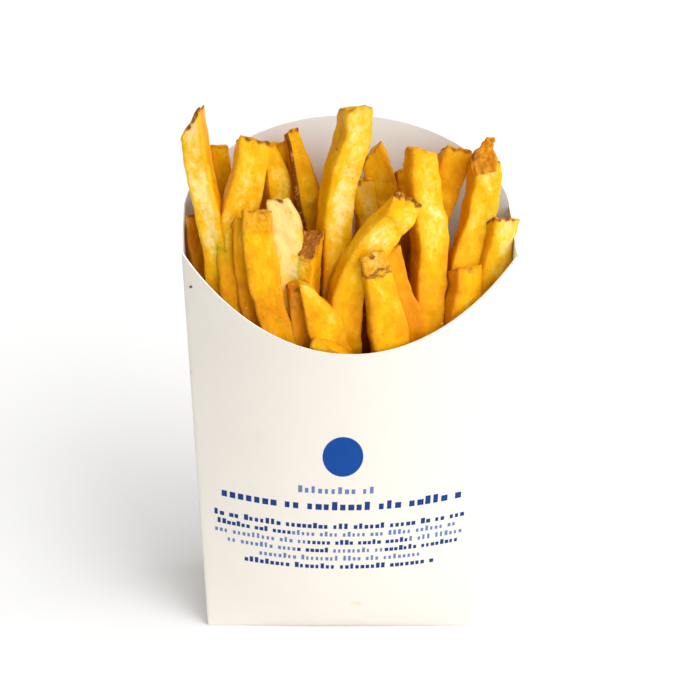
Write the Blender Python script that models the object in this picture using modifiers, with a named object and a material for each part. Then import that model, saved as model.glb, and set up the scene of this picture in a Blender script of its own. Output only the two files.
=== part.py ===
# A takeaway carton heaped with french fries.
#
# The carton is one piece of thin board folded into a tapering sleeve with a flat base:
# a low curved lip in front, a tall arch at the back, narrow sides, and front and back
# panels pushed out by what is inside. The fries fill it and stand out of its mouth.
# Metres, +Z up, front towards -Y, origin at the middle of the underside.

import math

import bmesh
import bpy
from mathutils import Matrix, Vector

# Carton
BASE_WIDTH = 0.097       # across the front at the base fold
TOP_WIDTH = 0.112        # across the front at the shoulders
BASE_DEPTH = 0.038       # front to back at the base fold
TOP_DEPTH = 0.030        # front to back of the side strips at the shoulders
SHOULDER = 0.157         # height of the side strips
LIP_HEIGHT = 0.128       # middle of the front lip
LIP_RADIUS = 0.070       # curve of the front lip
ARCH_START = 0.1535      # where the arch of the back panel begins
ARCH_HALF_WIDTH = 0.0565
ARCH_RISE = 0.0322
FRONT_SWELL = 0.0180     # how far the front panel is pushed out at the lip
BACK_SWELL = 0.0140      # how far the back panel is pushed out at its peak
SWELL_LOW_DOWN = 0.39    # share of the swell that is already there near the base
FOLD_STIFFNESS = 0.009   # height over which the straight base fold lets the panels swell
BOARD = 0.0005
CLEARANCE = 0.0006       # left between the fries and the board

# Fries
HEAP_FRONT = 0.120       # height of the packed fries behind the front lip
HEAP_SLOPE = 0.30        # rise of the packed fries towards the back
HEAP_MARGIN = 0.0005     # how far the packed fries stay inside the room for fries
ROOM_HEIGHT = 0.230

# Every fry that stands clear of the heap, in millimetres and degrees:
# foot (x, y, z), tip (x, y, z), sideways bow, width, thickness, turn, slant of the cut end
STANDING_FRIES = (
    ((-41, -13, 112), (-53, 4, 196), 1, 10.4, 8, 12, 1.0),       # tall, left corner
    ((-41, 10, 124), (-45, 14, 180), 0, 7.5, 7, 35, -0.3),
    ((-37, -20, 114), (-32, 4, 187), -4, 11.6, 9, 8, -0.1),      # curves to the right
    ((-23, 6, 124), (-28, 11, 182), 1, 8, 9, 30, 0),
    ((-16, 11, 124), (-23.5, 14, 181), 0, 6, 6, 10, 0),
    ((-9, 4, 122), (-20, 11.5, 187), 1, 7.5, 9, 18, 0.25),
    ((-16, -24, 114), (-24, -5, 170), 1, 10, 9, -6, -0.15),
    ((-18, -25, 108), (-29, -13, 170), 0, 10.4, 8, 4, -0.1),
    ((-30, -22, 112), (-34.5, -11, 166), 0, 6, 6.5, 12, 0.3),
    ((-17, -24, 112), (-14, -12, 159), 0, 10.4, 9.6, 4, 0.15),
    ((0, -25, 108), (-14.5, -24, 149), 0, 10, 8, 10, -0.6),      # pointed, at the lip
    ((-13, -24, 108), (-17.5, -21, 148), 0, 7.5, 6.5, 15, 0.2),
    ((-1, -24, 118), (-13, -26, 128), 0, 6, 5, 0, 0),            # short one lying on the lip
    ((-6, -13, 114), (1, 4, 200), -2, 10, 9.4, 30, 0),           # tall, middle
    ((0, -21, 108), (18, -12, 172), -9, 10.8, 9.6, 10, 0.2),     # bends to the right
    ((7, 6, 124), (4, 9, 171), 0, 8.2, 7.6, 10, -0.2),
    ((16, 9, 124), (8, 12, 180), 0, 9.4, 8, 4, 0.65),
    ((19, 11, 124), (18, 14, 172), 0, 5, 6, 10, 0),
    ((24, -24, 112), (23, 0, 186), 3, 10.6, 9.2, 20, -0.35),     # tall, right of the middle
    ((26, 0, 124), (36, 12, 181), -2, 10.4, 8, 8, 0.1),
    ((35, -16, 118), (45.6, 6.5, 180), 2, 10, 9, 16, -0.3),
    ((44, 1, 176), (46, 4, 190), 0, 7, 2.4, 6, 0.5),             # chip of skin on the last one
    ((44, -12, 114), (50, -2, 162), 0, 11, 9, 20, 0),
    ((34, -20, 110), (38, -14, 152), 0, 10, 9, 26, 0),
    ((15.5, -24.5, 108), (7, -22, 160), 0, 11.5, 8.4, 12, 0.1),
    ((24, -25, 110), (12.5, -16, 158), 0, 7.5, 6.5, 12, 0),
    ((-45, -4, 116), (-51.5, 4, 160), 0, 8, 6, 20, 0),           # low, in the left corner
)

PANEL_COLUMNS = 16
SIDE_COLUMNS = 4
WALL_ROWS = 12


def half_width(z):
    """Half the carton's width at height z."""
    return (BASE_WIDTH + (TOP_WIDTH - BASE_WIDTH) * z / SHOULDER) / 2


def half_depth(z):
    """Half the depth of the side strips at height z."""
    return (BASE_DEPTH + (TOP_DEPTH - BASE_DEPTH) * z / SHOULDER) / 2


def swell(z, most, full_height):
    """How far a panel's middle is pushed out at height z: none at the straight base fold."""
    growing = SWELL_LOW_DOWN + (1 - SWELL_LOW_DOWN) * z / full_height
    return most * growing * (1 - math.exp(-z / FOLD_STIFFNESS))


def wall_point(panel, across, z, inset=0.0):
    """A point of the wall. across runs from -1 to 1 over the panel, anticlockwise from above."""
    width = half_width(z) - inset
    depth = half_depth(z) - inset
    if panel == "front":
        out = swell(z, FRONT_SWELL, LIP_HEIGHT) * (1 - across ** 2)
        return Vector((across * width, -depth - out, z))
    if panel == "back":
        out = swell(z, BACK_SWELL, ARCH_START + ARCH_RISE) * (1 - across ** 2)
        return Vector((-across * width, depth + out, z))
    side = 1 if panel == "right" else -1
    return Vector((side * width, side * across * depth, z))


def wall_top(panel, across):
    """Height of the cut edge above a place on the wall."""
    x = across * TOP_WIDTH / 2
    lip = LIP_HEIGHT + LIP_RADIUS - math.sqrt(LIP_RADIUS ** 2 - x ** 2)
    arch = ARCH_START + ARCH_RISE * math.sqrt(1 - (x / ARCH_HALF_WIDTH) ** 2)
    if panel == "front":
        return lip
    if panel == "back":
        return arch
    corner = TOP_WIDTH / 2
    front_corner = LIP_HEIGHT + LIP_RADIUS - math.sqrt(LIP_RADIUS ** 2 - corner ** 2)
    back_corner = ARCH_START + ARCH_RISE * math.sqrt(1 - (corner / ARCH_HALF_WIDTH) ** 2)
    share = (across + 1) / 2 if panel == "right" else (1 - across) / 2
    return front_corner + (back_corner - front_corner) * share


def columns_around():
    """The wall's columns in order round the carton, closer together near the folds."""
    columns = []
    for panel in ("front", "right", "back", "left"):
        count = PANEL_COLUMNS if panel in ("front", "back") else SIDE_COLUMNS
        for i in range(count):
            columns.append((panel, math.sin(math.pi * (i / count - 0.5))))
    return columns


def sleeve(top_of, rows, bottom=0.0, inset=0.0):
    """A bmesh sleeve wrapped round the carton's shape, open above, with a flat bottom."""
    columns = columns_around()
    bm = bmesh.new()
    bmesh.ops.create_grid(bm, x_segments=len(columns), y_segments=rows, size=0.5)
    for vert in bm.verts:
        panel, across = columns[round((vert.co.x + 0.5) * len(columns)) % len(columns)]
        share = round((vert.co.y + 0.5) * rows) / rows
        top = top_of(panel, across)
        z = bottom + (top - bottom) * share ** 1.25
        vert.co = wall_point(panel, across, z, inset)
    bmesh.ops.remove_doubles(bm, verts=bm.verts, dist=0.00005)
    rim = [e for e in bm.edges if e.is_boundary and max(v.co.z for v in e.verts) < bottom + 0.001]
    bmesh.ops.contextual_create(bm, geom=rim)
    bmesh.ops.recalc_face_normals(bm, faces=bm.faces)
    return bm


def closed_sleeve(top_of, rows, bottom, inset):
    """The same sleeve with its mouth closed by a flat face."""
    bm = sleeve(top_of, rows, bottom, inset)
    bmesh.ops.contextual_create(bm, geom=[e for e in bm.edges if e.is_boundary])
    bmesh.ops.recalc_face_normals(bm, faces=bm.faces)
    return bm


def heap_top(panel, across):
    """Height of the packed fries at the wall: one plane that rises towards the back."""
    z = HEAP_FRONT
    for _ in range(12):
        z = HEAP_FRONT + HEAP_SLOPE * (wall_point(panel, across, z).y + half_depth(z))
    return z


def room_top(panel, across):
    return ROOM_HEIGHT


def fry(foot, tip, bow, width, thickness, turn, slant):
    """A bmesh bar with chamfered edges, bent along a bowed line and cut at a slant."""
    foot = Vector(foot) / 1000
    tip = Vector(tip) / 1000
    run = tip - foot
    side = Vector((run.z, 0, -run.x)).normalized()
    turned = Matrix.Rotation(math.radians(turn), 3, run)
    across = turned @ side * width / 1000
    through = turned @ run.cross(side).normalized() * thickness / 1000

    bm = bmesh.new()
    bmesh.ops.create_cube(bm, size=1)
    long_edges = [e for e in bm.edges if abs(e.verts[0].co.z - e.verts[1].co.z) > 0.5]
    bmesh.ops.bevel(bm, geom=long_edges, offset=0.16, segments=1, affect="EDGES", profile=0.5)
    long_edges = [e for e in bm.edges if abs(e.verts[0].co.z - e.verts[1].co.z) > 0.5]
    bmesh.ops.subdivide_edges(bm, edges=long_edges, cuts=4, use_grid_fill=True)
    for vert in bm.verts:
        x, y, z = vert.co
        share = z + 0.5
        line = foot + run * share + side * bow / 1000 * 4 * share * (1 - share)
        end = run.normalized() * slant * x * width / 1000 * share ** 4
        vert.co = line + across * x + through * y + end
    bmesh.ops.recalc_face_normals(bm, faces=bm.faces)
    return bm


def add_object(name, bm, collection):
    mesh = bpy.data.meshes.new(name)
    bm.to_mesh(mesh)
    bm.free()
    obj = bpy.data.objects.new(name, mesh)
    collection.objects.link(obj)
    return obj


def add_collection(name):
    collection = bpy.data.collections.new(name)
    bpy.context.scene.collection.children.link(collection)
    return collection


def plain_material(name, colour, roughness, metallic=0.0):
    material = bpy.data.materials.new(name)
    material.use_nodes = True
    shader = material.node_tree.nodes["Principled BSDF"]
    shader.inputs["Base Color"].default_value = (*colour, 1)
    shader.inputs["Roughness"].default_value = roughness
    shader.inputs["Metallic"].default_value = metallic
    return material


def as_guide(obj):
    obj.hide_render = True
    obj.display_type = "WIRE"
    return obj


def build():
    for obj in list(bpy.data.objects):
        bpy.data.objects.remove(obj, do_unlink=True)
    model = add_collection("french_fries_in_a_carton")
    guides = add_collection("guides")
    standing = add_collection("standing_fries")

    carton = add_object("carton", sleeve(wall_top, WALL_ROWS), model)
    carton.data.materials.append(plain_material("white_board", (0.86, 0.84, 0.79), 0.55))
    shell = carton.modifiers.new("board", "SOLIDIFY")
    shell.thickness = BOARD
    shell.offset = -1
    shell.use_even_offset = True

    room_inset = BOARD + CLEARANCE
    heap_inset = room_inset + HEAP_MARGIN
    fries = add_object("fries", closed_sleeve(heap_top, 6, heap_inset, heap_inset), model)
    fries.data.materials.append(plain_material("fried_potato", (0.85, 0.48, 0.07), 0.45))
    for number, sizes in enumerate(STANDING_FRIES, start=1):
        as_guide(add_object(f"standing_fry_{number:02d}", fry(*sizes), standing))
    room_shape = closed_sleeve(room_top, 8, room_inset, room_inset)
    room = as_guide(add_object("room_inside", room_shape, guides))

    joined = fries.modifiers.new("standing fries", "BOOLEAN")
    joined.operation = "UNION"
    joined.operand_type = "COLLECTION"
    joined.collection = standing
    joined.solver = "EXACT"
    trimmed = fries.modifiers.new("kept off the board", "BOOLEAN")
    trimmed.operation = "INTERSECT"
    trimmed.object = room
    trimmed.solver = "EXACT"


build()
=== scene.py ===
# A takeaway carton of french fries on a pale studio floor.
import math
import random

import bmesh
import bpy
from mathutils import Matrix, Vector, noise


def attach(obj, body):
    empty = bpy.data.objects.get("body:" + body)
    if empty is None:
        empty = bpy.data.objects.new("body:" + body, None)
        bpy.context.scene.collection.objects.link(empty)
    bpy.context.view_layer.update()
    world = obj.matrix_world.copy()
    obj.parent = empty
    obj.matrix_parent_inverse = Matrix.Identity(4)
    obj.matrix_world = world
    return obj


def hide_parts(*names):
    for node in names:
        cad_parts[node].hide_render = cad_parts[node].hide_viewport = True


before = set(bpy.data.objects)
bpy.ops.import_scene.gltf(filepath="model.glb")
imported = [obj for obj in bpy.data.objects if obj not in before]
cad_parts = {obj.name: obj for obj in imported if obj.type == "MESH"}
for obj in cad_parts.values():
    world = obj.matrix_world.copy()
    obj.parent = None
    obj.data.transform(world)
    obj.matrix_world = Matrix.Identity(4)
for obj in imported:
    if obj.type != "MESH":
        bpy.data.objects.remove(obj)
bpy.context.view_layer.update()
print("frame loaded:", ", ".join(sorted(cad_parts)))

mm = 0.001


def smoothStep(low, high, value):
    share = min(max((value - low) / (high - low), 0.0), 1.0)
    return share * share * (3 - 2 * share)


def makePiece(name, bm, materials, smooth=True):
    mesh = bpy.data.meshes.new(name)
    bm.to_mesh(mesh)
    bm.free()
    for material in materials:
        mesh.materials.append(material)
    if smooth:
        mesh.shade_smooth()
    piece = bpy.data.objects.new(name, mesh)
    bpy.context.scene.collection.objects.link(piece)
    return piece


def applyModifiers(piece):
    ready = piece.evaluated_get(bpy.context.evaluated_depsgraph_get())
    mesh = bpy.data.meshes.new_from_object(ready)
    piece.modifiers.clear()
    piece.data = mesh


def newMaterial(name):
    material = bpy.data.materials.new(name)
    material.use_nodes = True
    return material, material.node_tree, material.node_tree.nodes["Principled BSDF"]


def addNode(tree, kind, **settings):
    node = tree.nodes.new(kind)
    for key, value in settings.items():
        setattr(node, key, value)
    return node


def mixColours(tree, factor, first, second):
    # factor, first and second are sockets or plain values
    node = addNode(tree, "ShaderNodeMix", data_type="RGBA", clamp_factor=True)
    for socket, value in ((node.inputs[0], factor), (node.inputs[6], first), (node.inputs[7], second)):
        if isinstance(value, bpy.types.NodeSocket):
            tree.links.new(value, socket)
        elif isinstance(value, (int, float)):
            socket.default_value = value
        else:
            socket.default_value = (*value, 1)
    return node.outputs[2]


def mathNode(tree, operation, *values, clamp=False):
    node = addNode(tree, "ShaderNodeMath", operation=operation, use_clamp=clamp)
    for socket, value in zip(node.inputs, values):
        if isinstance(value, bpy.types.NodeSocket):
            tree.links.new(value, socket)
        else:
            socket.default_value = value
    return node.outputs[0]


def rampNode(tree, value, low, high):
    # 0 below low, 1 above high, eased between
    node = addNode(tree, "ShaderNodeMapRange", interpolation_type="SMOOTHSTEP", clamp=True)
    tree.links.new(value, node.inputs["Value"])
    node.inputs["From Min"].default_value = low
    node.inputs["From Max"].default_value = high
    return node.outputs["Result"]


def noiseNode(tree, vector, scale, detail=3.0, roughness=0.55):
    node = addNode(tree, "ShaderNodeTexNoise")
    tree.links.new(vector, node.inputs["Vector"])
    if isinstance(scale, bpy.types.NodeSocket):
        tree.links.new(scale, node.inputs["Scale"])
    else:
        node.inputs["Scale"].default_value = scale
    node.inputs["Detail"].default_value = detail
    node.inputs["Roughness"].default_value = roughness
    return node.outputs["Fac"]


def stretched(tree, vector, scale):
    node = addNode(tree, "ShaderNodeMapping")
    tree.links.new(vector, node.inputs["Vector"])
    node.inputs["Scale"].default_value = scale
    return node.outputs["Vector"]


# carton shape
cartonCut = {
    "baseWidth": 0.097, "topWidth": 0.112, "baseDepth": 0.038, "topDepth": 0.030, "shoulder": 0.157,
    "lipHeight": 0.128, "lipRadius": 0.070, "archStart": 0.1535, "archHalfWidth": 0.0565, "archRise": 0.0322,
    "frontSwell": 0.0180, "backSwell": 0.0140, "swellLowDown": 0.39, "foldStiffness": 0.009,
    "boardThickness": 0.0005,
    "panelColumns": 44, "sideColumns": 10, "rows": 46, "foldRound": 0.0005, "waviness": 0.00018,
}


def cartonHalfWidth(z):
    c = cartonCut
    return (c["baseWidth"] + (c["topWidth"] - c["baseWidth"]) * z / c["shoulder"]) / 2


def cartonHalfDepth(z):
    c = cartonCut
    return (c["baseDepth"] + (c["topDepth"] - c["baseDepth"]) * z / c["shoulder"]) / 2


def panelSwell(z, most, tall):
    # the panels bulge more towards the open top, and hardly at all near the base folds
    low = cartonCut["swellLowDown"]
    return most * (low + (1 - low) * z / tall) * (1 - math.exp(-z / cartonCut["foldStiffness"]))


def wallPlace(panel, across, z, proud=0.0):
    c = cartonCut
    width = cartonHalfWidth(z) + proud
    depth = cartonHalfDepth(z) + proud
    wave = c["waviness"] * noise.noise(Vector((across * 2.1 + len(panel), z * 22, 3.7))) * (1 - across ** 4)
    if panel == "front":
        out = panelSwell(z, c["frontSwell"], c["lipHeight"]) * (1 - across ** 2)
        return Vector((across * width, -depth - out - wave, z))
    if panel == "back":
        out = panelSwell(z, c["backSwell"], c["archStart"] + c["archRise"]) * (1 - across ** 2)
        return Vector((-across * width, depth + out + wave, z))
    side = 1 if panel == "right" else -1
    return Vector((side * (width + wave), side * across * depth, z))


def cutHeight(panel, across):
    c = cartonCut
    corner = c["topWidth"] / 2
    x = across * corner if panel in ("front", "back") else corner
    lip = c["lipHeight"] + c["lipRadius"] - math.sqrt(c["lipRadius"] ** 2 - x ** 2)
    arch = c["archStart"] + c["archRise"] * math.sqrt(1 - (x / c["archHalfWidth"]) ** 2)
    if panel == "front":
        return lip
    if panel == "back":
        return arch
    share = (across + 1) / 2 if panel == "right" else (1 - across) / 2
    return lip + (arch - lip) * share


def foldCarton():
    c = cartonCut
    columns = []
    for panel in ("front", "right", "back", "left"):
        count = c["panelColumns"] if panel in ("front", "back") else c["sideColumns"]
        for i in range(count):
            even = 2 * i / count - 1
            columns.append((panel, 0.6 * even + 0.4 * math.sin(math.pi / 2 * even)))
    bm = bmesh.new()
    bmesh.ops.create_grid(bm, x_segments=len(columns), y_segments=c["rows"], size=0.5)
    for vert in bm.verts:
        panel, across = columns[round((vert.co.x + 0.5) * len(columns)) % len(columns)]
        share = round((vert.co.y + 0.5) * c["rows"]) / c["rows"]
        vert.co = wallPlace(panel, across, cutHeight(panel, across) * share ** 1.3)
    bmesh.ops.remove_doubles(bm, verts=bm.verts, dist=0.00002)
    baseRim = [e for e in bm.edges if e.is_boundary and max(v.co.z for v in e.verts) < 0.0005]
    bmesh.ops.contextual_create(bm, geom=baseRim)
    bmesh.ops.recalc_face_normals(bm, faces=bm.faces)
    folds = [e for e in bm.edges if len(e.link_faces) == 2 and e.calc_face_angle(0) > math.radians(35)]
    bmesh.ops.bevel(bm, geom=folds, offset=c["foldRound"], segments=2, affect="EDGES", profile=0.5,
                    material=-1)
    return bm


# board finish
boardFinish = {
    # face and inside are the one white board; the inside is given a lighter, bluer colour, painted light
    # that makes up for light it lacks and cancels the fries' warm bounce
    "face": (0.815, 0.770, 0.700), "inside": (0.930, 0.980, 1.000), "core": (0.98, 0.975, 0.96),
    "roughness": 0.50,
    # the last colour on the next line is the warm brown of painted shade and fry bounce inside the carton,
    # with some oil stain
    "grease": (0.80, 0.60, 0.22), "smudge": (0.55, 0.40, 0.26), "warmShade": (0.74, 0.46, 0.20),
    # place, reach, tint and strength of each mark left on the outside
    "marks": (((0.0062, -0.0253, 0.0155), 0.0021, "grease", 0.40),
              ((0.0040, -0.0253, 0.0160), 0.0014, "grease", 0.25),
              ((-0.0365, -0.0235, 0.0621), 0.0016, "grease", 0.30),
              ((-0.0536, -0.0163, 0.1096), 0.0016, "smudge", 0.30),
              ((-0.0290, -0.0260, 0.0900), 0.0040, "smudge", 0.05)),
    # where the fries have left the inside warm and a little oily
    # a warm brown tint inside, mostly left of the middle where the fries stand: painted shade and warm
    # bounce from the fries, with some oil staining
    "shadeAndStains": (((-0.020, 0.024, 0.160), 0.020, "warmShade", 0.60),
              ((-0.012, 0.025, 0.150), 0.024, "warmShade", 0.75),
              ((-0.036, 0.018, 0.156), 0.014, "warmShade", 0.45),
              ((-0.054, 0.004, 0.146), 0.014, "warmShade", 0.50),
              ((0.053, 0.006, 0.158), 0.008, "warmShade", 0.40)),
}


def paperGrain():
    # fibres and slow mottle of paper board, shared by board and ink
    group = bpy.data.node_groups.new("paperGrain", "ShaderNodeTree")
    group.interface.new_socket("Vector", in_out="INPUT", socket_type="NodeSocketVector")
    group.interface.new_socket("Fibre Scale", in_out="INPUT", socket_type="NodeSocketFloat")
    group.interface.new_socket("Fibre", in_out="OUTPUT", socket_type="NodeSocketFloat")
    group.interface.new_socket("Mottle", in_out="OUTPUT", socket_type="NodeSocketFloat")
    start = addNode(group, "NodeGroupInput")
    end = addNode(group, "NodeGroupOutput")
    laid = stretched(group, start.outputs["Vector"], (1, 1, 0.6))
    fibres = noiseNode(group, laid, start.outputs["Fibre Scale"], 4)
    group.links.new(fibres, end.inputs["Fibre"])
    mottle = rampNode(group, noiseNode(group, start.outputs["Vector"], 45, 3), 0.3, 0.75)
    group.links.new(mottle, end.inputs["Mottle"])
    return group


grainGroup = paperGrain()


def addGrain(tree, fibreScale):
    coords = addNode(tree, "ShaderNodeTexCoord").outputs["Object"]
    grain = addNode(tree, "ShaderNodeGroup", node_tree=grainGroup)
    tree.links.new(coords, grain.inputs["Vector"])
    grain.inputs["Fibre Scale"].default_value = fibreScale
    return coords, grain.outputs["Fibre"], grain.outputs["Mottle"]


def spotMask(tree, coords, at, reach):
    # soft round mask about one place on the board
    node = addNode(tree, "ShaderNodeVectorMath", operation="DISTANCE")
    tree.links.new(coords, node.inputs[0])
    node.inputs[1].default_value = at
    return rampNode(tree, mathNode(tree, "MULTIPLY", node.outputs["Value"], -1.0), -reach, -reach * 0.2)


def boardMaterial(name, tint, marks):
    material, tree, shader = newMaterial(name)
    coords, fibre, mottle = addGrain(tree, 900)
    colour = mixColours(tree, mottle, tint, tuple(v * 0.985 for v in tint))
    colour = mixColours(tree, mathNode(tree, "MULTIPLY", fibre, 0.03), colour, boardFinish["smudge"])
    uneven = mathNode(tree, "ADD", mathNode(tree, "MULTIPLY", mottle, 0.6), 0.55)
    for at, reach, stain, strength in marks:
        mask = mathNode(tree, "MULTIPLY", spotMask(tree, coords, at, reach), strength)
        mask = mathNode(tree, "MULTIPLY", mask, uneven, clamp=True)
        colour = mixColours(tree, mask, colour, boardFinish[stain])
    tree.links.new(colour, shader.inputs["Base Color"])
    rough = mathNode(tree, "MULTIPLY_ADD", mottle, 0.14, boardFinish["roughness"] - 0.06)
    tree.links.new(rough, shader.inputs["Roughness"])
    bump = addNode(tree, "ShaderNodeBump")
    bump.inputs["Strength"].default_value = 0.12
    bump.inputs["Distance"].default_value = 0.0002
    tree.links.new(fibre, bump.inputs["Height"])
    tree.links.new(bump.outputs["Normal"], shader.inputs["Normal"])
    return material


def coreMaterial():
    material, tree, shader = newMaterial("boardCutEdge")
    _, fibre, _ = addGrain(tree, 1400)
    colour = mixColours(tree, fibre, boardFinish["core"], tuple(v * 0.96 for v in boardFinish["core"]))
    tree.links.new(colour, shader.inputs["Base Color"])
    shader.inputs["Roughness"].default_value = 0.8
    return material


boardLook = [boardMaterial("whiteBoard", boardFinish["face"], boardFinish["marks"]), coreMaterial(),
             boardMaterial("boardInside", boardFinish["inside"], boardFinish["shadeAndStains"])]
carton = makePiece("foldedCarton", foldCarton(), boardLook)
shell = carton.modifiers.new("board thickness", "SOLIDIFY")
shell.thickness = cartonCut["boardThickness"]
shell.offset = -1
shell.use_even_offset = True
shell.material_offset = 2
shell.material_offset_rim = 1
applyModifiers(carton)
carton.data.set_sharp_from_angle(angle=math.radians(60))
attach(carton, "root")
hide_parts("carton")
print("carton folded")


# print on the front
frontPrint = {
    "ink": (0.002, 0.060, 0.300), "heavy": (0.008, 0.042, 0.200), "light": (0.130, 0.200, 0.430),
    "proud": 0.00003,
    "mark": {"centre": (-0.0012, 0.0848), "halfSize": (0.0070, 0.0087)},
    # centre x, height above the base fold, length of the row, height of its blocks, heavy stretches of it
    "rows": (
        (-0.0008, 0.0700, 0.0310, 0.0034, ()),
        (-0.0005, 0.0630, 0.0850, 0.0042, ((0.0, 1.0),)),
        (-0.0006, 0.0537, 0.0900, 0.0028, ((0.0, 1.0),)),
        (-0.0010, 0.0500, 0.0870, 0.0025, ((0.0, 0.30),)),
        (-0.0004, 0.0462, 0.0900, 0.0025, ((0.36, 0.76),)),
        (0.0001, 0.0425, 0.0820, 0.0025, ((0.28, 0.43), (0.66, 1.0))),
        (-0.0006, 0.0387, 0.0580, 0.0025, ()),
        (-0.0004, 0.0349, 0.0690, 0.0027, ((0.0, 1.0),)),
    ),
    "pitch": 0.68, "seed": 11,
}


def ontoFront(x, z, proud):
    # a place on the outside of the front panel
    return wallPlace("front", x / cartonHalfWidth(z), z, proud)


def printBlock(bm, x, z, width, height, inkIndex):
    made = bmesh.ops.create_cube(bm, size=1)["verts"]
    for vert in made:
        proud = frontPrint["proud"] if vert.co.y < 0 else -frontPrint["proud"]
        vert.co = ontoFront(x + vert.co.x * width, z + vert.co.z * height, proud)
    for face in {face for vert in made for face in vert.link_faces}:
        face.material_index = inkIndex


def printRow(bm, rng, centre, z, length, height, heavy):
    # a row of plain blocks in word-sized groups
    start = centre - length / 2
    end = centre + length / 2
    step = height * frontPrint["pitch"]
    x = start
    while x < end - step:
        letters = rng.randint(2, 9)
        for _ in range(letters):
            if x > end - step * 0.7:
                break
            share = (x - start) / length
            isHeavy = any(low <= share < high for low, high in heavy)
            wide = step * rng.uniform(0.55, 0.80) * (1 if isHeavy else 0.8)
            tall = height * rng.choice((0.62, 0.62, 0.62, 0.9))
            printBlock(bm, x + wide / 2, z - (height - tall) / 2, wide, tall, 0 if isHeavy else 1)
            x += step
        x += step * 0.75


def printedMark():
    # a plain upright oval
    bm = bmesh.new()
    mark = frontPrint["mark"]
    bmesh.ops.create_cone(bm, cap_ends=True, segments=48, radius1=1, radius2=1, depth=2)
    for _ in range(3):
        caps = [f for f in bm.faces if len(f.verts) > 8]
        bmesh.ops.inset_region(bm, faces=caps, thickness=0.25)
    bmesh.ops.poke(bm, faces=[f for f in bm.faces if len(f.verts) > 8])
    for vert in bm.verts:
        x = mark["centre"][0] + vert.co.x * mark["halfSize"][0]
        z = mark["centre"][1] + vert.co.y * mark["halfSize"][1]
        vert.co = ontoFront(x, z, frontPrint["proud"] * vert.co.z)
    bmesh.ops.recalc_face_normals(bm, faces=bm.faces)
    return bm


def inkMaterial(name, colour):
    material, tree, shader = newMaterial(name)
    _, fibre, mottle = addGrain(tree, 1100)
    patches = mathNode(tree, "MULTIPLY_ADD", mottle, 0.3, 0.5)
    worn = mathNode(tree, "MULTIPLY", rampNode(tree, fibre, 0.4, 0.8), patches)
    inked = mixColours(tree, worn, colour, tuple(v + 0.012 for v in colour))
    tree.links.new(inked, shader.inputs["Base Color"])
    shader.inputs["Roughness"].default_value = 0.55
    shader.inputs["Specular IOR Level"].default_value = 0.12
    return material


markInk = inkMaterial("markInk", frontPrint["ink"])
printedOval = makePiece("printedOval", printedMark(), [markInk], smooth=False)
rowRng = random.Random(frontPrint["seed"])
rowsMesh = bmesh.new()
for row in frontPrint["rows"]:
    printRow(rowsMesh, rowRng, *row)
rowInks = [inkMaterial("heavyInk", frontPrint["heavy"]), inkMaterial("lightInk", frontPrint["light"])]
printedRows = makePiece("printedRows", rowsMesh, rowInks, smooth=False)
for piece in (printedOval, printedRows):
    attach(piece, "root")
print("front printed")
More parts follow.
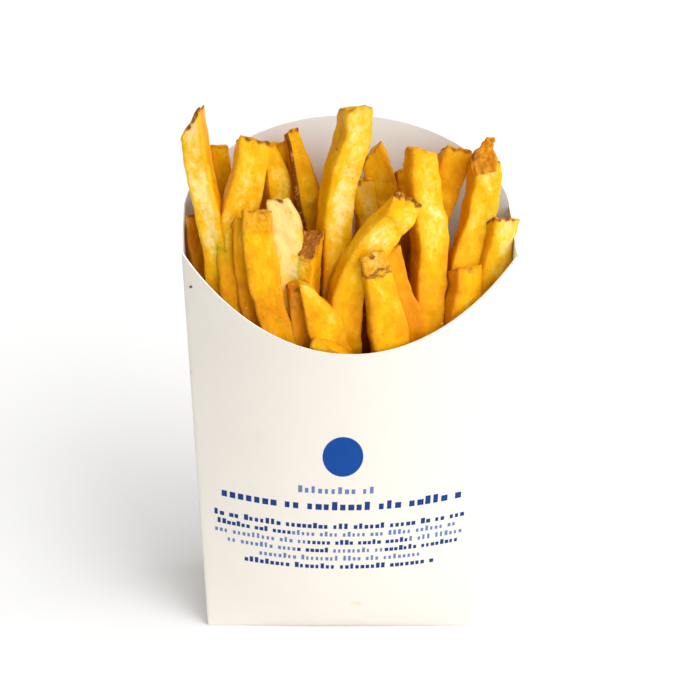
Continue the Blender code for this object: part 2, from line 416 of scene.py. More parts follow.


# fries
# Places are in millimetres. Directions are in degrees about the fry: 0 right, 90 back, 180 left, 270 front.
# line runs from the foot to the tip, size is width by thickness, and turn turns the fry about its length.
# slant tips the cut end across and through. narrowTip is the share of width left at the tip, and how far
# below it the narrowing starts. pale runs from amber at 0 to cream at 1, and faces shifts it on the right,
# back, left and front faces; that shift is painted shade and light, darker on the shaded left and paler on
# the lit front. rimBrown and capBrown brown the cut end. rimSide is the middle and the reach of its rim, and
# rimInner is where across the end the rim starts, from 0 in the middle to 1 at the side.
# A skin spot is place, reach and strength. A strip of skin is direction, reach, start, end and strength.
# A wrinkle is distance from the tip and strength. roughTip and ragged roughen the tip and the whole fry,
# and crispTop crisps the top. around and step, in metres, make a finer mesh.
standingFries = {
    "leftCorner": {
        "line": ((-38, -14, 112), (-42.5, -13, 140), (-44.5, -9, 155), (-47.5, -5, 168),
                 (-50.6, 1, 181), (-52.4, 4, 195)),
        "size": (8.2, 8), "turn": -14, "slant": (1.3, -0.12), "pale": 0.80, "rimBrown": 3.0,
        "capBrown": 1.0, "faces": (-0.7, -0.2, -0.3, 0.1),
    },
    "leftBehind": {
        "line": ((-41, 10, 130), (-42.5, 12, 157), (-43.5, 13, 170), (-45, 14, 180)),
        "size": (7.5, 7), "turn": 35, "slant": (-0.3, -0.5), "pale": 0.45, "rimBrown": 0.5,
    },
    "leftCurved": {
        "line": ((-37, -20, 118), (-38.5, -15, 141.5), (-38.7, -8, 156.5), (-36.5, -2, 168),
                 (-34, 1, 178), (-32.3, 4, 187)),
        "size": (11.6, 9), "turn": 8, "slant": (-0.1, -0.45), "pale": 0.62, "rimBrown": 1.2,
        "skin": (((-34, 0.5, 187), 0.9, 1.2),), "faces": (-0.1, -0.2, -0.15, 0.1),
    },
    "leftPale": {
        "line": ((-23, 6, 128), (-24.5, 10, 160.5), (-25.5, 11, 171.5), (-28, 11, 182)),
        "size": (9.6, 9), "turn": 30, "slant": (0, -0.5), "pale": 0.65, "rimBrown": 0.3,
        "narrowTip": (0.55, 16), "faces": (0, -0.2, -0.6, 0.1),
    },
    "leftShaded": {
        "line": ((-16, 12, 130), (-20, 14, 160), (-22, 15, 171), (-23.5, 15, 181.5)),
        "size": (6, 6), "turn": 10, "slant": (0, -0.5), "pale": 0.2, "rimBrown": 0.3,
    },
    "darkEdged": {
        "line": ((-9, 4, 122), (-12, 8, 149.5), (-14, 10, 162), (-17.5, 11, 176.5), (-20, 12, 187)),
        "size": (9.6, 9), "turn": 18, "slant": (0.25, -0.5), "pale": 0.45, "rimBrown": 1.3,
        "narrowTip": (0.50, 24), "strips": ((216, 21, 0, 34, 1.2), (318, 7, 12, 34, 0.65)),
        "faces": (-0.2, -0.2, -0.5, 0.15),
    },
    "paleCut": {
        "line": ((-16, -24, 118), (-19, -18, 139.5), (-20.5, -13, 150.5), (-21.5, -8, 161.5),
                 (-24, -5, 170.5)),
        "size": (10, 9), "turn": -6, "slant": (-0.15, -0.3), "pale": 1.05, "rimBrown": 1.5,
        "rimSide": (215, 85), "capBrown": 0.0, "narrowTip": (0.7, 8), "faces": (0, -0.2, -0.1, 0.1),
    },
    "roughTopped": {
        "line": ((-20, -24.5, 108), (-23, -25, 127.5), (-25.5, -23, 135.5), (-28.6, -20, 150.5),
                 (-30.6, -16, 161.5), (-31, -13, 170.5)),
        "size": (10.4, 8), "turn": 4, "slant": (-0.1, -0.3), "pale": 0.64, "rimBrown": 0.9,
        "roughTip": 0.4, "crispTop": 1.0, "around": 72, "step": 0.0005,
        "faces": (-0.3, -0.2, -0.2, 0.0),
    },
    "thinStrip": {
        "line": ((-31, -21, 112), (-33, -20, 132.5), (-34.5, -17.5, 140), (-36.2, -14, 153.5),
                 (-36.2, -10, 166)),
        "size": (6, 6.5), "turn": 12, "slant": (0.3, -0.5), "pale": 0.6, "rimBrown": 0.4,
    },
    "brownCapped": {
        "line": ((-17, -24, 114), (-16, -20, 137), (-15.5, -17, 145), (-15, -14, 152),
                 (-14.2, -12, 158.5)),
        "size": (8.8, 8.2), "turn": -26, "slant": (0.25, 0.95), "pale": 0.82, "rimBrown": 1.4,
        "capBrown": 0.78, "roughTip": 0.9, "around": 72, "step": 0.0005,
        "faces": (-0.35, -0.2, -0.2, 0.15),
    },
    "pointedFront": {
        "line": ((0, -25, 108), (-6, -26, 127.5), (-10.5, -25, 139.5), (-14.5, -24, 149.5)),
        "size": (11.6, 8), "turn": 10, "slant": (-1.2, -0.3), "pale": 0.9, "rimBrown": 0.7,
        "narrowTip": (0.35, 15), "strips": ((318, 7, 4, 26, 0.35),), "faces": (-0.3, -0.2, -0.4, 0.1),
    },
    "besidePointed": {
        "line": ((-13, -24, 108), (-15.5, -24, 127.5), (-17, -22, 138.5), (-17.5, -21, 148)),
        "size": (7.5, 6.5), "turn": 15, "slant": (0.2, 0), "pale": 0.2, "rimBrown": 1.0,
        "skin": (((-17, -26, 143), 5, 0.50), ((-16, -25, 147), 1.8, 0.9)),
    },
    "onTheLip": {
        "line": ((-1, -28.5, 123), (-7, -30.8, 127.8), (-13, -30.4, 130.2)),
        "size": (6, 4.5), "turn": 0, "slant": (0, 0), "pale": 0.8, "rimBrown": 0.2,
    },
    "tallMiddle": {
        "line": ((-6, -13, 118), (-5.5, -10, 145), (-5, -5, 157.5), (-4.5, -1, 168.5), (-2, 2, 182),
                 (0.5, 4, 191.5), (1, 4, 200.0)),
        "size": (10.0, 9.4), "turn": 20, "slant": (0, -0.5), "pale": 0.72, "rimBrown": 0.7,
        "narrowTip": (0.86, 3), "faces": (0.15, -0.2, -0.35, 0.15),
        "skin": (((-4.5, -0.5, 187), 0.8, 1.0),),
    },
    "bending": {
        "line": ((0, -21, 108), (-1.5, -23, 126.5), (-2, -22.5, 137), (-0.5, -20, 147),
                 (4.5, -17, 157), (11, -14, 165), (18, -12, 172)),
        "size": (10.8, 9.6), "turn": 10, "slant": (0.3, 0.75), "pale": 0.68, "rimBrown": 1.5,
        "rimSide": (95, 75), "rimInner": 0.40, "capBrown": 0.0,
        "skin": (((17, -7, 177), 1.6, 0.95), ((19.7, -6.8, 174.2), 1.4, 1.0),
                 ((22.3, -6.8, 171.4), 1.2, 0.7)),
        "faces": (0, -0.2, -0.2, 0.1),
    },
    "smallBehind": {
        "line": ((7, 6, 128), (6.5, 8, 154), (5, 9, 163), (4, 9, 171)),
        "size": (8.2, 7.6), "turn": 10, "slant": (-0.2, -0.5), "pale": 0.62, "rimBrown": 0.9,
        "crispTop": 0.3, "skin": (((3, 7, 171), 2.2, 0.7), ((2.4, 6, 168.5), 0.9, 1.1)),
    },
    "slantedTip": {
        "line": ((15.5, 9, 130), (12.6, 11, 160), (10, 12, 171), (7.2, 12, 179.5)),
        "size": (9.4, 8), "turn": 4, "slant": (0.65, -0.4), "pale": 0.55, "rimBrown": 1.0,
        "faces": (-0.3, -0.2, -0.4, 0.05),
    },
    "shadedGap": {
        "line": ((19, 11, 130), (18.5, 13, 161), (18, 14, 172)),
        "size": (5, 6), "turn": 10, "slant": (0, -0.5), "pale": 0.25, "rimBrown": 0.2,
    },
    "tallRight": {
        "line": ((24, -24, 112), (25.5, -20, 129.5), (26, -14, 143.5), (26.5, -9, 156),
                 (25, -4, 166.5), (23.5, -1, 177), (23, 0, 186.5)),
        "size": (10.6, 9.2), "turn": 20, "slant": (-0.35, -0.45), "pale": 0.60, "rimBrown": 0.35,
        "roughTip": 0.5, "faces": (-0.15, -0.2, -0.45, 0.22),
    },
    "rightBehind": {
        "line": ((26, 0, 130), (27, 4, 148), (29, 7, 158), (32, 10, 169), (36, 12, 181)),
        "size": (10.4, 8), "turn": 8, "slant": (0.1, -0.5), "pale": 0.42, "rimBrown": 0.9,
        "narrowTip": (0.85, 5),
    },
    "chipTipped": {
        "line": ((35, -16, 124), (37.8, -9, 146), (40.6, -4, 154), (43.3, 1, 162), (45.1, 5, 171),
                 (45.6, 6.5, 180)),
        "size": (10, 9), "turn": 16, "slant": (-0.3, -0.4), "pale": 0.68, "rimBrown": 0.8,
        "narrowTip": (0.84, 5), "faces": (0, -0.2, -0.5, 0.1),
    },
    "skinChip": {
        "line": ((44.6, 1.6, 178), (44.0, 2.2, 182), (44.9, 3.2, 186), (46.4, 4.2, 190)),
        "size": (8.6, 3), "turn": 6, "slant": (0.5, 0), "pale": 0.0, "rimBrown": 0.5, "ragged": 1.0,
        "roughTip": 1.0, "around": 64, "step": 0.0004, "narrowTip": (0.2, 9),
        "skin": (((41, 1.5, 184), 2.2, 0.75), ((44, 0.5, 178), 1.8, 0.5), ((44, 1, 183), 4.5, 0.36)),
    },
    "farRight": {
        "line": ((44, -12, 118), (46.5, -9, 142), (49, -5, 153), (50.6, -2, 161.5)),
        "size": (11.6, 9), "turn": 32, "slant": (0, -0.4), "pale": 0.85, "rimBrown": 1.7,
        "capBrown": 0.35, "roughTip": 0.5, "faces": (0, -0.3, -0.7, 0.1),
    },
    "lowRight": {
        "line": ((34, -18, 112), (36.5, -18, 135), (38, -15.6, 142.5), (38, -13.8, 149.6)),
        "size": (10, 9), "turn": 26, "slant": (0, -0.4), "pale": 0.54, "rimBrown": 0.4,
        "skin": (((34.6, -18, 151.5), 1.1, 1.1), ((40.3, -17.5, 151.6), 2.4, 0.62)),
        "faces": (0.1, -0.3, -0.5, 0.45),
    },
    "bandedFront": {
        "line": ((15.5, -24.5, 108), (13.2, -26.5, 129), (10.5, -25, 145), (8.5, -23.5, 153),
                 (7, -22, 160)),
        "size": (12.0, 8.4), "turn": 12, "slant": (0.1, -0.2), "pale": 0.84, "rimBrown": 0.3,
        "around": 72, "step": 0.0005, "narrowTip": (0.72, 30), "crispTop": 0.9,
        "wrinkles": ((5.4, 0.90), (6.9, 0.75)),
        "skin": (((6.8, -25.4, 160.6), 1.25, 1.3), ((9, -27.5, 154.5), 3.6, 0.40)),
        "faces": (-0.3, -0.3, -0.4, 0.12),
    },
    "besideBanded": {
        "line": ((24, -25, 112), (21, -23, 133), (15.5, -19, 146.5), (12.5, -16, 158)),
        "size": (7.5, 6.5), "turn": 12, "slant": (0, -0.4), "pale": 0.38, "rimBrown": 0.2,
    },
    "lowLeft": {
        "line": ((-44, -5, 122), (-48, -3, 141), (-50.6, 0, 151), (-51.6, 3, 160)),
        "size": (8.5, 6), "turn": 20, "slant": (0, -0.4), "pale": 0.3, "ragged": 0.35, "rimBrown": 1.0,
        "skin": (((-52, 2, 160), 3.0, 0.75), ((-50, -2, 154), 1.6, 0.7), ((-49, -3, 148), 2.0, 0.6)),
    },
}

fryMake = {
    "around": 48, "step": 0.0008, "rimRound": 0.0008, "seed": 5,
    "squareness": 10, "sink": 0.03, "cornerCrowding": 0.13,  # shape of the section
    "uneven": 0.13, "drift": 0.0006, "dents": 0.00055, "grain": 0.00007,  # unevenness everywhere
    "roughBumps": 0.0008, "raggedBumps": 0.0009, "tipUneven": 0.0004, "roughTipUneven": 0.0022,
    "tipReach": 0.006, "slantReach": 0.010, "narrowTip": (0.92, 14),  # how far down the tip's shape goes
    "rimDepth": 0.0007, "rimPatch": 0.0006, "wrinkleWidth": 0.70,
    "wallGap": 0.0009,  # kept between a fry and the board
    # painted shade: the next line makes the fries deeper in colour lower down, where the carton's lip shades
    # them
    "lowShade": 0.44, "lowShadeHeights": (0.166, 0.136),  # how much deeper in colour the fries are lower down
}


def throughPoints(points):
    # evenly sampled smooth curve through the points, with its length so far at each sample
    pts = [Vector(p) * mm for p in points]
    pts = [pts[0] * 2 - pts[1]] + pts + [pts[-1] * 2 - pts[-2]]
    samples = []
    for i in range(1, len(pts) - 2):
        for k in range(16):
            t = k / 16
            a, b, c, d = pts[i - 1:i + 3]
            samples.append(0.5 * (2 * b + (c - a) * t + (2 * a - 5 * b + 4 * c - d) * t ** 2
                                  + (3 * b - a - 3 * c + d) * t ** 3))
    samples.append(pts[-2])
    run = [0.0]
    for a, b in zip(samples, samples[1:]):
        run.append(run[-1] + (b - a).length)
    return samples, run


def alongLine(samples, run, s):
    # place and direction at distance s, going straight on past the ends
    if s <= 0:
        heading = (samples[1] - samples[0]).normalized()
        return samples[0] + heading * s, heading
    if s >= run[-1]:
        heading = (samples[-1] - samples[-2]).normalized()
        return samples[-1] + heading * (s - run[-1]), heading
    i = max(k for k in range(len(run) - 1) if run[k] <= s)
    share = (s - run[i]) / (run[i + 1] - run[i])
    before = (samples[i] - samples[max(i - 1, 0)]) if i else samples[1] - samples[0]
    after = samples[i + 1] - samples[i]
    heading = (before.normalized() * (1 - share) + after.normalized() * share).normalized()
    return samples[i].lerp(samples[i + 1], share), heading


def keepInside(place):
    # a fry below the carton's edge lies against its walls, not through them
    gap = fryMake["wallGap"]
    z = max(place.z, 0.003)
    halfWidth = cartonHalfWidth(min(z, cartonCut["shoulder"]))
    across = min(max(place.x / halfWidth, -0.999), 0.999)
    if z < cutHeight("front", across) + 0.001:
        place.y = max(place.y, wallPlace("front", across, z).y + gap)
    if z < cutHeight("back", -across) + 0.001:
        place.y = min(place.y, wallPlace("back", -across, z).y - gap)
    sideEdge = cutHeight("right", min(max(place.y / cartonHalfDepth(min(z, cartonCut["shoulder"])), -1), 1))
    if z < sideEdge + 0.001:
        place.x = min(max(place.x, gap - halfWidth), halfWidth - gap)


def fryBlank(length, radius, around, step):
    # a plain round bar with a softened top rim, cut across often enough to be shaped
    bm = bmesh.new()
    bmesh.ops.create_cone(bm, cap_ends=True, segments=around, radius1=radius, radius2=radius, depth=length)
    bmesh.ops.translate(bm, verts=bm.verts, vec=(0, 0, length / 2))
    rims = [e for e in bm.edges if min(v.co.z for v in e.verts) > length / 2]
    bmesh.ops.bevel(bm, geom=rims, offset=fryMake["rimRound"], segments=3, affect="EDGES", profile=0.5,
                    material=-1)
    lengthwise = [e for e in bm.edges if abs(e.verts[0].co.z - e.verts[1].co.z) > length / 2]
    bmesh.ops.subdivide_edges(bm, edges=lengthwise, cuts=max(int(length / step), 3), use_grid_fill=True)
    for _ in range(4):
        caps = [f for f in bm.faces if len(f.verts) > 12 and f.calc_center_median().z > length / 2]
        bmesh.ops.inset_region(bm, faces=caps, thickness=radius * 0.19, use_even_offset=True)
    bmesh.ops.poke(bm, faces=[f for f in bm.faces if len(f.verts) > 12])
    return bm


def turnedFrom(angle, where):
    # degrees between a direction about the fry and another
    return abs((math.degrees(angle) - where + 180) % 360 - 180)


def cutRim(spec, toTip, out, angle, shift):
    # brown rim of the cut end, and how patchy it is here
    rimPlace = Vector((math.cos(angle) * 3.2, math.sin(angle) * 3.2, shift.y))
    patchy = smoothStep(-0.25, 0.35, noise.noise(rimPlace))
    depth = fryMake["rimDepth"] + fryMake["rimPatch"] * patchy
    rimFrom = spec.get("rimInner", 0.80)
    rim = math.exp(-((toTip - 0.0003) / depth) ** 2) * smoothStep(rimFrom, rimFrom + 0.17, out)
    rimAt, rimReach = spec.get("rimSide", (0, 360))
    return rim * smoothStep(rimReach * 1.2, rimReach * 0.8, turnedFrom(angle, rimAt)), patchy


def skinLeft(spec, place, toTip, out, angle, shift):
    # spots, strips and wrinkles of skin left on the fry
    skin = 0.0
    for at, size, strength in spec.get("skin", ()):
        away = (place - Vector(at) * mm).length / (size * mm)
        skin = max(skin, strength * (1 - smoothStep(0.4, 1.3, away)))
    onSide = smoothStep(0.8, 1, out)
    for where, reach, start, end, strength in spec.get("strips", ()):
        within = smoothStep(start - 2, start, toTip / mm) * smoothStep(end + 5, end, toTip / mm)
        near = smoothStep(reach * 1.3, reach * 0.7, turnedFrom(angle, where))
        skin = max(skin, strength * near * within * onSide)
    for start, strength in spec.get("wrinkles", ()):
        wavy = toTip / mm - start - 1.3 * noise.noise(Vector((angle * 1.9, start, shift.x)))
        skin = max(skin, strength * math.exp(-(wavy / fryMake["wrinkleWidth"]) ** 2) * onSide)
    return skin


def fryBody(spec, seed, around=None, step=None):
    m = fryMake
    rng = random.Random(seed)
    shift = Vector([rng.uniform(-90, 90) for _ in range(3)])
    samples, run = throughPoints(spec["line"])
    length = run[-1]
    wide, thick = (v * mm for v in spec["size"])
    radius = (wide + thick) / 4
    around = around or spec.get("around", m["around"])
    bm = fryBlank(length, radius, around, step or spec.get("step", m["step"]))
    grain = bm.verts.layers.float_vector.new("fryGrain")
    tone = bm.verts.layers.float_color.new("fryTone")
    power = m["squareness"] * rng.uniform(0.75, 1.25)
    corner = (2 * 0.7071 ** power) ** (-1 / power)
    slantX, slantY = spec.get("slant", (0, 0))
    pivot = thick * 0.1 if slantY < 0 else 0
    rough = spec.get("roughTip", 0.2)
    ragged = spec.get("ragged", 0.0)
    narrow, narrowFrom = spec.get("narrowTip", m["narrowTip"])
    # painted shade and light: unless a fry gives its own, the left faces are made darker and the front faces
    # paler, as the light falls from the right front
    plainFaceShading = (rng.uniform(-0.3, 0.1), -0.2, rng.uniform(-0.6, -0.3), rng.uniform(0, 0.2))
    faceShading = spec.get("faces", plainFaceShading)
    aim = Matrix.Rotation(math.radians(spec.get("turn", 0)), 3, "Z") @ Vector((1, 0, 0))
    for vert in bm.verts:
        # section here: a rounded square with hollow faces
        x, y, z = vert.co
        out = math.hypot(x, y) / radius
        angle = math.atan2(y, x)
        angle += m["cornerCrowding"] * math.sin(4 * angle)
        cosA, sinA = math.cos(angle), math.sin(angle)
        square = (abs(cosA) ** power + abs(sinA) ** power) ** (-1 / power)
        along = z / mm
        toTip = length - z
        tipNess = 1 - smoothStep(0, m["tipReach"], toTip)
        taper = 1 - (1 - narrow) * (1 - smoothStep(0, narrowFrom * mm, toTip))
        widthNow = wide / 2 * taper * (1 + m["uneven"] * noise.noise(Vector((along * 0.09, shift.x, 0))))
        thickNow = thick / 2 * taper * (1 + m["uneven"] * noise.noise(Vector((along * 0.09, shift.y, 5))))
        sunk = out * square * (1 - m["sink"] * math.cos(2 * angle) ** 2 * smoothStep(0.9, 1.0, out))
        lx = cosA * sunk * widthNow + m["drift"] * noise.noise(Vector((along * 0.06, shift.z, 9)))
        ly = sinA * sunk * thickNow

        # dents, rough places and the slanted, uneven cut
        place = Vector((lx, ly, z * 0.8)) * 1000 + shift
        bump = m["dents"] * noise.noise(place * 0.30) + m["grain"] * noise.noise(place * 1.3)
        bump += (m["roughBumps"] * rough * tipNess + m["raggedBumps"] * ragged) * noise.noise(place * 0.8)
        lx += cosA * bump * out
        ly += sinA * bump * out
        lz = z + (slantX * lx + slantY * (ly - pivot)) * (1 - smoothStep(0, m["slantReach"], toTip))
        cutBump = m["tipUneven"] + m["roughTipUneven"] * rough
        lz += tipNess * cutBump * noise.noise(Vector((lx, ly, 0)) * 420 + shift)

        # onto the line of the fry
        centre, heading = alongLine(samples, run, lz)
        side = (aim - heading * aim.dot(heading)).normalized()
        through = heading.cross(side)
        vert.co = centre + side * lx + through * ly
        keepInside(vert.co)

        # brown, crisp and pale
        edge = smoothStep(0.30, 1.0, (square - 1) / (corner - 1)) * smoothStep(0.85, 1.0, out)
        onCap = smoothStep(m["rimRound"] * 1.5, 0, toTip) if out < 0.999 else 0.0
        rim, patchy = cutRim(spec, toTip, out, angle, shift)
        skin = max(spec.get("rimBrown", 0.4) * rim * (0.35 + 0.65 * patchy),
                   spec.get("capBrown", 0.15) * onCap,
                   skinLeft(spec, vert.co, toTip, out, angle, shift))
        crispTop = spec.get("crispTop", 0) * smoothStep(9, 5, toTip / mm)
        crisp = max(edge * 0.35, 0.9 * rim, tipNess * rough, ragged, crispTop)
        # painted shade and light, added to the paleness face by face
        faceShade = sum(t * max(0, math.cos(angle - math.pi / 2 * k)) ** 4 for k, t in enumerate(faceShading))
        # painted shade: lower down, towards the carton's lip, the fry is made deeper amber
        warmShade = m["lowShade"] * smoothStep(*m["lowShadeHeights"], vert.co.z)
        vert[grain] = place
        vert[tone] = (min(skin, 1.0), min(crisp, 1.0), spec.get("pale", 0.4) + faceShade - warmShade, 1.0)
    bmesh.ops.recalc_face_normals(bm, faces=bm.faces)
    return bm


def gather(bodies):
    # one bmesh holding several
    joined = bmesh.new()
    for body in bodies:
        holder = bpy.data.meshes.new("holder")
        body.to_mesh(holder)
        body.free()
        joined.from_mesh(holder)
        bpy.data.meshes.remove(holder)
    return joined


# fry finish
fryFinish = {
    # from deep amber to cream, with the place of each shade
    "shades": ((0.00, (0.67, 0.240, 0.001)), (0.22, (0.75, 0.312, 0.001)), (0.45, (0.81, 0.390, 0.001)),
               (0.66, (0.86, 0.475, 0.004)), (0.84, (0.92, 0.592, 0.068)), (1.00, (0.96, 0.715, 0.270))),
    "crisp": (0.60, 0.212, 0.004), "skin": (0.33, 0.105, 0.016), "darkSkin": (0.11, 0.030, 0.008),
    # the first colour on the next line is a lighter crust, partly the crust's own colour and partly painted
    # glint
    "crustLightAndGlint": (0.90, 0.440, 0.060), "speck": (0.24, 0.080, 0.010),
    "subsurface": 0.40, "depth": 0.0025, "shine": 0.10, "roughness": (0.34, 0.54),
    "speckScale": 0.44, "speckShare": 0.34,  # specks a millimetre, and the share of them that show
}


def shadeRamp(tree, value):
    node = addNode(tree, "ShaderNodeValToRGB")
    stops = node.color_ramp.elements
    while len(stops) < len(fryFinish["shades"]):
        stops.new(0.5)
    for stop, (at, shade) in zip(stops, fryFinish["shades"]):
        stop.position = at
        stop.color = (*shade, 1)
    tree.links.new(value, node.inputs["Fac"])
    return node.outputs["Color"]


def spread(tree, value, amount):
    # a noise value about zero, widened to the amount
    return mathNode(tree, "MULTIPLY", mathNode(tree, "SUBTRACT", value, 0.5), amount)


def fryMaterial():
    f = fryFinish
    material, tree, shader = newMaterial("friedPotato")
    place = addNode(tree, "ShaderNodeAttribute", attribute_name="fryGrain").outputs["Vector"]
    toneNode = addNode(tree, "ShaderNodeAttribute", attribute_name="fryTone")
    split = addNode(tree, "ShaderNodeSeparateColor")
    tree.links.new(toneNode.outputs["Color"], split.inputs["Color"])
    # the blue of fryTone is paleness, which already holds the painted shade and light on the faces and the
    # painted shade lower down
    skinMask, crispMask, pale = split.outputs["Red"], split.outputs["Green"], split.outputs["Blue"]

    broad = noiseNode(tree, place, 0.13, 2)
    blotch = noiseNode(tree, stretched(tree, place, (1, 1, 0.85)), 0.42, 3, 0.5)
    pores = noiseNode(tree, place, 0.85, 3, 0.55)
    fine = noiseNode(tree, place, 2.6, 4, 0.65)

    paleness = mathNode(tree, "ADD", pale, spread(tree, broad, 0.85))
    paleness = mathNode(tree, "ADD", paleness, spread(tree, blotch, 0.75))
    paleness = mathNode(tree, "ADD", paleness, spread(tree, pores, 0.45))
    paleness = mathNode(tree, "ADD", paleness, spread(tree, fine, 0.30))
    crispAmount = mathNode(tree, "MULTIPLY", crispMask, rampNode(tree, blotch, 0.30, 0.62), clamp=True)
    crispShade = mathNode(tree, "MULTIPLY", crispAmount, 0.25)
    paleness = mathNode(tree, "SUBTRACT", paleness, crispShade, clamp=True)
    colour = shadeRamp(tree, paleness)
    rugged = noiseNode(tree, place, 0.70, 4, 0.75)
    # crust is mottled between brown and a lighter peach; the lighter patches are partly the crust's own
    # colour and partly painted glints
    crust = mixColours(tree, rampNode(tree, rugged, 0.42, 0.60), f["crisp"], f["crustLightAndGlint"])
    colour = mixColours(tree, mathNode(tree, "MULTIPLY", crispAmount, 0.65), colour, crust)

    skinEdge = mathNode(tree, "ADD", skinMask, spread(tree, fine, 0.9))
    skinAmount = mathNode(tree, "MULTIPLY", rampNode(tree, skinEdge, 0.28, 0.80), 0.92)
    skinColour = mixColours(tree, rampNode(tree, skinEdge, 0.70, 1.15), f["skin"], f["darkSkin"])
    blistered = mathNode(tree, "MULTIPLY", rampNode(tree, rugged, 0.50, 0.68), 0.7)
    skinColour = mixColours(tree, blistered, skinColour, crust)
    colour = mixColours(tree, skinAmount, colour, skinColour)

    cells = addNode(tree, "ShaderNodeTexVoronoi", feature="F1")
    tree.links.new(stretched(tree, place, (1, 1, 1.25)), cells.inputs["Vector"])
    cells.inputs["Scale"].default_value = f["speckScale"]
    cells.inputs["Randomness"].default_value = 1.0
    keep = addNode(tree, "ShaderNodeSeparateColor")
    tree.links.new(cells.outputs["Color"], keep.inputs["Color"])
    dot = rampNode(tree, mathNode(tree, "MULTIPLY", cells.outputs["Distance"], -1.0), -0.13, -0.06)
    shown = mathNode(tree, "GREATER_THAN", keep.outputs["Red"], 1 - f["speckShare"])
    speckAmount = mathNode(tree, "MULTIPLY", dot, shown)
    colour = mixColours(tree, mathNode(tree, "MULTIPLY", speckAmount, 0.65), colour, f["speck"])
    tree.links.new(colour, shader.inputs["Base Color"])

    low, high = f["roughness"]
    rough = mathNode(tree, "MULTIPLY_ADD", blotch, high - low, low)
    rough = mathNode(tree, "MAXIMUM", rough, mathNode(tree, "MULTIPLY", skinAmount, 0.75))
    tree.links.new(rough, shader.inputs["Roughness"])
    height = mathNode(tree, "ADD", mathNode(tree, "MULTIPLY", fine, 0.35),
                      mathNode(tree, "MULTIPLY", pores, 0.9))
    height = mathNode(tree, "SUBTRACT", height, mathNode(tree, "MULTIPLY", speckAmount, 0.25))
    crusty = rampNode(tree, mathNode(tree, "MAXIMUM", skinMask, crispMask), 0.30, 0.90)
    crustBumps = mathNode(tree, "MULTIPLY", crusty, mathNode(tree, "MULTIPLY", rugged, 3.2))
    height = mathNode(tree, "ADD", height, crustBumps)
    bump = addNode(tree, "ShaderNodeBump")
    bump.inputs["Strength"].default_value = 0.6
    bump.inputs["Distance"].default_value = 0.0006
    tree.links.new(height, bump.inputs["Height"])
    tree.links.new(bump.outputs["Normal"], shader.inputs["Normal"])
    shader.inputs["Subsurface Weight"].default_value = f["subsurface"]
    shader.inputs["Subsurface Radius"].default_value = (1.0, 0.50, 0.06)
    shader.inputs["Subsurface Scale"].default_value = f["depth"]
    shader.inputs["Specular IOR Level"].default_value = f["shine"]
    return material


friedPotato = fryMaterial()
names = list(standingFries)
bodies = [fryBody(standingFries[name], fryMake["seed"] + i) for i, name in enumerate(names)]
half = len(bodies) // 2
friesLeft = makePiece("standingFriesLeft", gather(bodies[:half]), [friedPotato])
friesRight = makePiece("standingFriesRight", gather(bodies[half:]), [friedPotato])
print("standing fries:", len(names), "faces:", len(friesLeft.data.polygons) + len(friesRight.data.polygons))


# packed fries below
packedFries = {
    "count": (10, 5), "size": (7.5, 9.5), "around": 20, "step": 0.0022, "seed": 23, "meshSeed": 400,
    "clear": (0.011, 0.0075),  # room kept from the sides, and from the front and back
    # heights of the feet and of the front tips, and how much higher the back tips are
    "foot": 0.070, "top": 0.112, "rise": 0.026,
    "gapAt": (0.0055, -0.0235), "gapReach": 0.0085,  # the dark hole left at the lip
    "coreTop": 0.100, "coreInset": 0.006,
}


def packedFry(rng, gridX, gridY):
    p = packedFries
    clearX, clearY = p["clear"]
    shareX = gridX + rng.uniform(-0.3, 0.3) / p["count"][0]
    shareY = min(max(gridY + rng.uniform(-0.1, 0.1), 0), 1)

    def insideAt(x, z):
        frontY = wallPlace("front", x / cartonHalfWidth(z), z).y + clearY
        backY = wallPlace("back", -x / cartonHalfWidth(z), z).y - clearY
        return Vector((x, frontY + (backY - frontY) * shareY, z))

    top = p["top"] + p["rise"] * shareY + rng.uniform(-0.006, 0.005)
    lean = rng.uniform(-0.004, 0.004)
    foot = insideAt(shareX * 2 * (cartonHalfWidth(p["foot"]) - clearX) - lean, p["foot"])
    tip = insideAt(shareX * 2 * (cartonHalfWidth(top) - clearX) + lean, top)
    mid = (foot + tip) / 2 + Vector((rng.uniform(-0.0015, 0.0015), 0.001, 0))
    low, high = p["size"]
    return {"line": tuple(tuple(place / mm) for place in (foot, mid, tip)),
            "size": (rng.uniform(low, high), rng.uniform(low, high)),
            "turn": rng.uniform(0, 90), "slant": (rng.uniform(-0.5, 0.5), rng.uniform(-0.4, 0.4)),
            "pale": rng.uniform(0.0, 0.4), "capBrown": rng.uniform(0.1, 0.4)}


def packedCore():
    # the heap lower down, where no single fry can be told apart
    inset = packedFries["coreInset"]
    bm = bmesh.new()
    bmesh.ops.create_grid(bm, x_segments=36, y_segments=10, size=0.5)
    panels = ("front", "right", "back", "left")
    for vert in bm.verts:
        column = round((vert.co.x + 0.5) * 36) % 36
        panel = panels[column // 9]
        across = math.sin(math.pi * (column % 9 / 9 - 0.5))
        z = 0.002 + (packedFries["coreTop"] - 0.002) * round((vert.co.y + 0.5) * 10) / 10
        vert.co = wallPlace(panel, across, z, -inset if z > 0.01 else -0.002)
    bmesh.ops.remove_doubles(bm, verts=bm.verts, dist=0.00005)
    bmesh.ops.holes_fill(bm, edges=[e for e in bm.edges if e.is_boundary], sides=0)
    grain = bm.verts.layers.float_vector.new("fryGrain")
    tone = bm.verts.layers.float_color.new("fryTone")
    for vert in bm.verts:
        vert[grain] = vert.co * 1000
        vert[tone] = (0.0, 0.4, 0.0, 1.0)
    bmesh.ops.recalc_face_normals(bm, faces=bm.faces)
    return bm


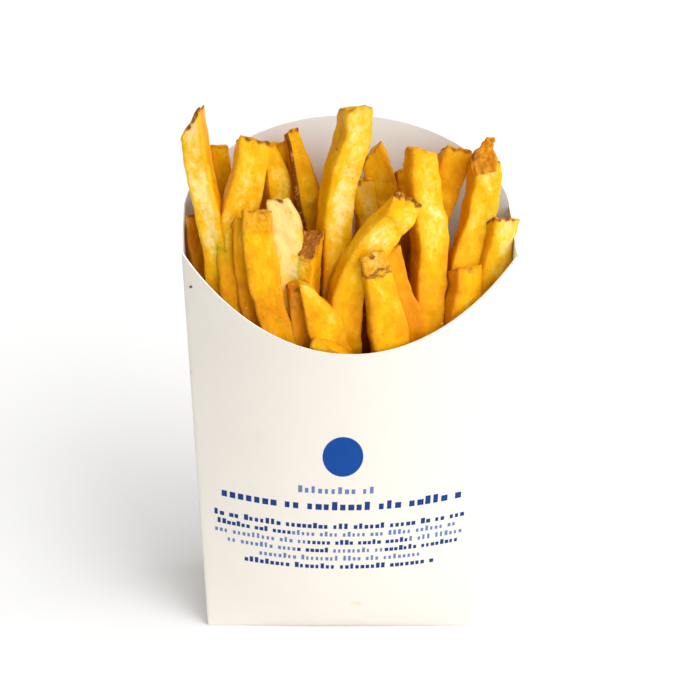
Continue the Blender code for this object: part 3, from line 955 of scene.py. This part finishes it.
packRng = random.Random(packedFries["seed"])
countX, countY = packedFries["count"]
grid = [((i + 0.5) / countX - 0.5, j / (countY - 1)) for i in range(countX) for j in range(countY)]
packed = [packedFry(packRng, gridX, gridY) for gridX, gridY in grid]
hole = Vector(packedFries["gapAt"]) / mm
holeReach = packedFries["gapReach"] / mm
packed = [spec for spec in packed if (Vector(spec["line"][2][:2]) - hole).length > holeReach]
packedBodies = [fryBody(spec, packedFries["meshSeed"] + i, packedFries["around"], packedFries["step"])
                for i, spec in enumerate(packed)]
friesPacked = makePiece("packedFries", gather(packedBodies + [packedCore()]), [friedPotato])
for piece in (friesLeft, friesRight, friesPacked):
    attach(piece, "root")
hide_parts("fries")
print("packed fries:", len(packed), "faces:", len(friesPacked.data.polygons))


# loose crumbs on the board
# each crumb is its place across the front and height, its size, how brown and how pale
crumbs = {"places": ((-0.953, 0.1441, 0.0005, 1.2, 0.3), (0.985, 0.1562, 0.0006, 0.2, 1.2),
                     (0.965, 0.1535, 0.0003, 0.3, 0.9), (-0.62, 0.1420, 0.0003, 0.3, 0.5),
                     (0.55, 0.1375, 0.0003, 0.3, 0.5), (-0.30, 0.1299, 0.0002, 0.3, 0.5)),
          "seed": 31}


def crumbBodies():
    bm = bmesh.new()
    rng = random.Random(crumbs["seed"])
    grain = bm.verts.layers.float_vector.new("fryGrain")
    tone = bm.verts.layers.float_color.new("fryTone")
    for across, z, size, brown, paleness in crumbs["places"]:
        home = wallPlace("front", across, z, size * 0.25)
        for vert in bmesh.ops.create_icosphere(bm, subdivisions=3, radius=size)["verts"]:
            lump = 1 + 0.5 * noise.noise(vert.co * 2.2 / size + Vector((rng.random() * 0.02, z * 900, 0)))
            vert[grain] = vert.co / mm + home / mm
            vert[tone] = (brown, 0.3, paleness, 1.0)
            vert.co = home + Vector((vert.co.x, vert.co.y * 0.7, vert.co.z * 0.8)) * lump
    return bm


looseCrumbs = makePiece("looseCrumbs", crumbBodies(), [friedPotato])
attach(looseCrumbs, "root")
print("crumbs dropped")


# floor, light and camera
studio = {"floor": (0.95, 0.95, 0.95), "ambient": 0.33, "ambientTint": (1.0, 0.985, 0.96),
          # where each soft light comes from, its strength and its softness in degrees
          "lights": {"keyLight": ((0.72, -0.36, 0.62), 2.2, 70),
                     "fillLight": ((0.45, -0.72, 0.55), 1.05, 60),
                     "topLight": ((-0.10, 0.10, 1.0), 0.7, 90)}}
view = {"elevation": 32.6, "distance": 0.743, "aim": (0.0006, -0.0201, 0.1213), "turn": 2.8, "roll": 1.8,
        "lens": 113}

floorMesh = bmesh.new()
bmesh.ops.create_grid(floorMesh, x_segments=4, y_segments=4, size=3)
floorMaterial, floorTree, floorShader = newMaterial("paleFloor")
floorShader.inputs["Base Color"].default_value = (*studio["floor"], 1)
floorShader.inputs["Roughness"].default_value = 0.9
floor = makePiece("studioFloor", floorMesh, [floorMaterial], smooth=False)

world = bpy.data.worlds.new("studioWorld")
bpy.context.scene.world = world
world.use_nodes = True
world.node_tree.nodes["Background"].inputs["Color"].default_value = (*studio["ambientTint"], 1)
world.node_tree.nodes["Background"].inputs["Strength"].default_value = studio["ambient"]

for name, (comesFrom, strength, softness) in studio["lights"].items():
    lightData = bpy.data.lights.new(name, "SUN")
    lightData.energy = strength
    lightData.angle = math.radians(softness)
    light = bpy.data.objects.new(name, lightData)
    light.rotation_euler = Vector(comesFrom).to_track_quat("Z", "Y").to_euler()
    bpy.context.scene.collection.objects.link(light)

cameraData = bpy.data.cameras.new("studioCamera")
cameraData.lens = view["lens"]
cameraData.sensor_width = 36
cameraData.clip_start = 0.05
camera = bpy.data.objects.new("studioCamera", cameraData)
tilt = math.radians(view["elevation"])
turn = Matrix.Rotation(math.radians(-view["turn"]), 3, "Z")
upright = Matrix.Rotation(math.radians(90) - tilt, 3, "X")
roll = Matrix.Rotation(math.radians(view["roll"]), 3, "Z")
camera.rotation_euler = (turn @ upright @ roll).to_euler()
backOff = turn @ Vector((0, -math.cos(tilt), math.sin(tilt)))
camera.location = Vector(view["aim"]) + backOff * view["distance"]
bpy.context.scene.collection.objects.link(camera)
bpy.context.scene.camera = camera
bpy.context.scene.view_settings.view_transform = "Standard"
bpy.context.scene.view_settings.look = "None"
print("studio set")
